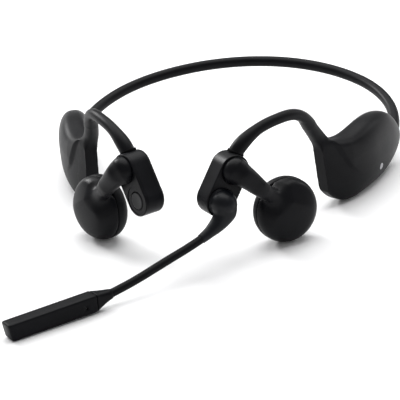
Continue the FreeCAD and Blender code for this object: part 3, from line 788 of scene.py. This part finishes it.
# ---------------------------------------------------------------- boom
# Centrelines of the boom's horn and stem, in millimetres.
HORN_ROUTE = [
    (16.4, -46.0, 22.0),
    (16.3, -47.0, 19.2),
    (14.2, -49.2, 16.3),
    (11.6, -52.2, 14.3),
    (9.1, -54.9, 12.9),
]
STEM_ROUTE = [
    (11.6, -52.2, 14.3),
    (9.1, -54.9, 12.9),
    (4.6, -59.8, 11.3),
    (-0.5, -65.0, 9.7),
    (-9.9, -74.1, 6.5),
    (-17.4, -80.6, 4.4),
    (-19.4, -82.3, 3.9),
]

# Middles of the microphone bar's two ends, and its section in millimetres. The CAD bar is lower,
# 5.6 high: this height and these middles were fitted to the photograph.
MIC_START = Vector((-22.2, -85.0, 3.75)) * MM
MIC_TIP = Vector((-46.2, -107.6, 3.3)) * MM
MIC_WIDTH = 5.6
MIC_HEIGHT = 6.2
MIC_SQUARENESS = 9.0
MIC_ASKEW = 0.16                   # lean of the far end's cut
PORT_PLACE = 4.2
PORT_RADIUS = 0.42 * MM
mic_along = (MIC_TIP - MIC_START).normalized()
mic_sideways = Vector((-mic_along.y, mic_along.x, 0)).normalized()


def make_boom_root():
    """Foot with a double ring, ball and horn that narrows to the stem."""
    floor = FOOT_FLOOR
    rim = FOOT_RADIUS
    # distance in from the rim, height over the floor, in millimetres
    rings = [(0.2, 0), (0, 0.2), (0, 0.75), (0.1, 0.9), (0.42, 0.95), (0.42, 1.25), (0.22, 1.35)]
    outline = [(0, floor)] + [(rim - inset * MM, floor + rise * MM) for inset, rise in rings]
    ball_radius = rim - 0.2 * MM
    ball_level = floor + 1.4 * MM
    for step in range(1, 14):
        angle = math.pi / 2 * step / 14
        outline.append((ball_radius * math.cos(angle), ball_level + 5.9 * MM * math.sin(angle)))
    outline.append((0, floor + 7.3 * MM))
    root = placed(turned("boom_ball", outline), local_frame(lower_pocket))
    route = smooth_route([Vector(p) * MM for p in HORN_ROUTE], 10)
    widths = [w * MM for w in (4.3, 3.9, 2.9, 2.05, 1.68)]
    horn = outward_normals(sweep("horn", route, widths, widths, pod_out))
    piece = remeshed(joined("boom_root", [root, horn]), ROOT_VOXEL)
    relaxed(piece, 4)
    throat = Vector((16.2, -48.6, 19.2)) * MM
    softened(piece, [(throat, 4.4 * MM)], 90)
    dressed(piece, "boom", "shell_plastic", root_black, "boom_pivot")


def make_stem():
    route = smooth_route([Vector(p) * MM for p in STEM_ROUTE], 14)
    radii = [r * MM for r in (1.5, 1.5, 1.48, 1.48, 1.48, 1.5, 1.5)]
    mesh = sweep("boom_stem_sheath", route, radii, radii, (0, 0, 1), sides=36)
    piece = new_object("boom_stem_sheath", outward_normals(mesh))
    dressed(piece, "boom", "soft_skin", skin_black, "boom_stem")


def make_collar():
    """Wedge from the round stem to the square bar: nearly level on top, deepening below."""
    up = Vector((0, 0, 1))
    # distance before the bar, sideways shift, rise, half width, half height, squareness
    sections = [
        (6.6, 0.35, 0.65, 1.72, 1.70, 2.0),
        (5.6, 0.30, 0.62, 1.85, 1.90, 2.2),
        (4.0, 0.20, 0.45, 2.05, 2.20, 2.8),
        (2.0, 0.10, 0.22, 2.40, 2.62, 4.0),
        (0.6, 0.00, 0.05, 2.66, 2.92, 6.0),
        (0.30, 0.00, 0.02, 2.70, 2.98, 8.0),
        (0.16, 0.00, 0.00, 2.56, 2.84, 8.0),
    ]
    sides = 48
    points = []
    for before, shift, rise, width, height, power in sections:
        place = MIC_START - mic_along * before * MM + mic_sideways * shift * MM + up * rise * MM
        for corner in range(sides):
            angle = 2 * math.pi * corner / sides
            u, v = superellipse_point(width, height, power, angle)
            points.append(place + mic_sideways * u * MM + up * v * MM)
    mesh = mesh_from("mic_collar_wedge", points, tube_faces(len(sections), sides))
    piece = new_object("mic_collar_wedge", outward_normals(mesh))
    dressed(piece, "boom", "shell_plastic", boom_black, "mic_collar")


def make_mic_bar():
    """Square bar with rounded edges, an end cut slightly askew and a small port near the collar."""
    up = mic_sideways.cross(mic_along) * -1
    length = (MIC_TIP - MIC_START).length / MM
    # distance along, share of the full size; each rounded end closes in a few steps
    stations = [(0.02, 0.90), (0.12, 0.955), (0.35, 0.99), (0.7, 1.0)]
    stations += [(length * step / 12, 1.0) for step in range(1, 12)]
    ending = [(0.9, 1.0), (0.5, 0.985), (0.2, 0.94), (0.04, 0.86)]
    stations += [(length - before, share) for before, share in ending]
    sides = 64
    points = []
    for distance, share in stations:
        for corner in range(sides):
            angle = 2 * math.pi * (corner + 0.5) / sides
            width, height = share * MIC_WIDTH / 2, share * MIC_HEIGHT / 2
            u, v = superellipse_point(width, height, MIC_SQUARENESS, angle)
            reach = distance + MIC_ASKEW * v * (distance / length) ** 3
            points.append(MIC_START + (mic_along * reach + mic_sideways * u + up * v) * MM)
    mesh = mesh_from("mic_bar", points, tube_faces(len(stations), sides))
    piece = new_object("mic_bar", outward_normals(mesh))
    port = MIC_START + (mic_along * PORT_PLACE + mic_sideways * MIC_WIDTH / 2 - up * 0.5) * MM
    carved(piece, drill("mic_port", port, mic_sideways, PORT_RADIUS, 1.1 * MM, 1 * MM))
    dressed(piece, "boom", "shell_plastic", boom_black, "mic_housing")


make_boom_root()
make_stem()
make_collar()
make_mic_bar()
finish_cad_nodes()


# ---------------------------------------------------------------- set, light and camera
def make_stage():
    floor_material = bpy.data.materials.new("floor_paper")
    floor_material.use_nodes = True
    shader = floor_material.node_tree.nodes["Principled BSDF"]
    shader.inputs["Base Color"].default_value = (0.93, 0.93, 0.935, 1)
    shader.inputs["Roughness"].default_value = 0.9
    size = 6.0
    corners = [(-size, -size, 0), (size, -size, 0), (size, size, 0), (-size, size, 0)]
    floor = new_object("floor", mesh_from("floor", corners, [(0, 1, 2, 3)]))
    floor.data.materials.append(floor_material)


def area_light(name, place, target, size, power):
    data = bpy.data.lights.new(name, "AREA")
    data.shape = "SQUARE"
    data.size = size
    data.energy = power
    lamp = bpy.data.objects.new(name, data)
    bpy.context.scene.collection.objects.link(lamp)
    lamp.location = place
    lamp.rotation_mode = "QUATERNION"
    lamp.rotation_quaternion = (Vector(target) - Vector(place)).to_track_quat("-Z", "Y")


def make_light():
    world = bpy.data.worlds.new("studio")
    world.use_nodes = True
    world.node_tree.nodes["Background"].inputs["Color"].default_value = (1, 1, 1, 1)
    world.node_tree.nodes["Background"].inputs["Strength"].default_value = 0.40
    bpy.context.scene.world = world
    middle = (0, 0, 0.02)
    area_light("top_softbox", (0.0, 0.45, 1.2), middle, 1.5, 22.0)
    area_light("left_softbox", (-0.9, 0.65, 0.60), middle, 0.35, 10.0)
    area_light("right_softbox", (0.9, 0.8, 0.50), middle, 0.3, 2.0)


def make_camera():
    """Three-quarter view from the front, level with a shallow look down."""
    across = Vector((0.97623578, 0.20150129, -0.07975539))
    up = Vector((-0.01113307, 0.41417253, 0.9101303))
    ahead = Vector((-0.21642493, 0.88761385, -0.40657337))
    data = bpy.data.cameras.new("camera")
    data.lens = 231.2
    data.sensor_width = 36.0
    data.shift_x = 0.0206
    data.shift_y = 0.0221
    data.clip_start = 0.05
    data.clip_end = 20
    camera = bpy.data.objects.new("camera", data)
    bpy.context.scene.collection.objects.link(camera)
    place = Matrix((across, up, -ahead)).transposed().to_4x4()
    place.translation = Vector((0.1951, -0.8272, 0.3780))
    camera.matrix_world = place
    bpy.context.scene.camera = camera


make_stage()
make_light()
make_camera()
bpy.context.scene.view_settings.view_transform = "Standard"
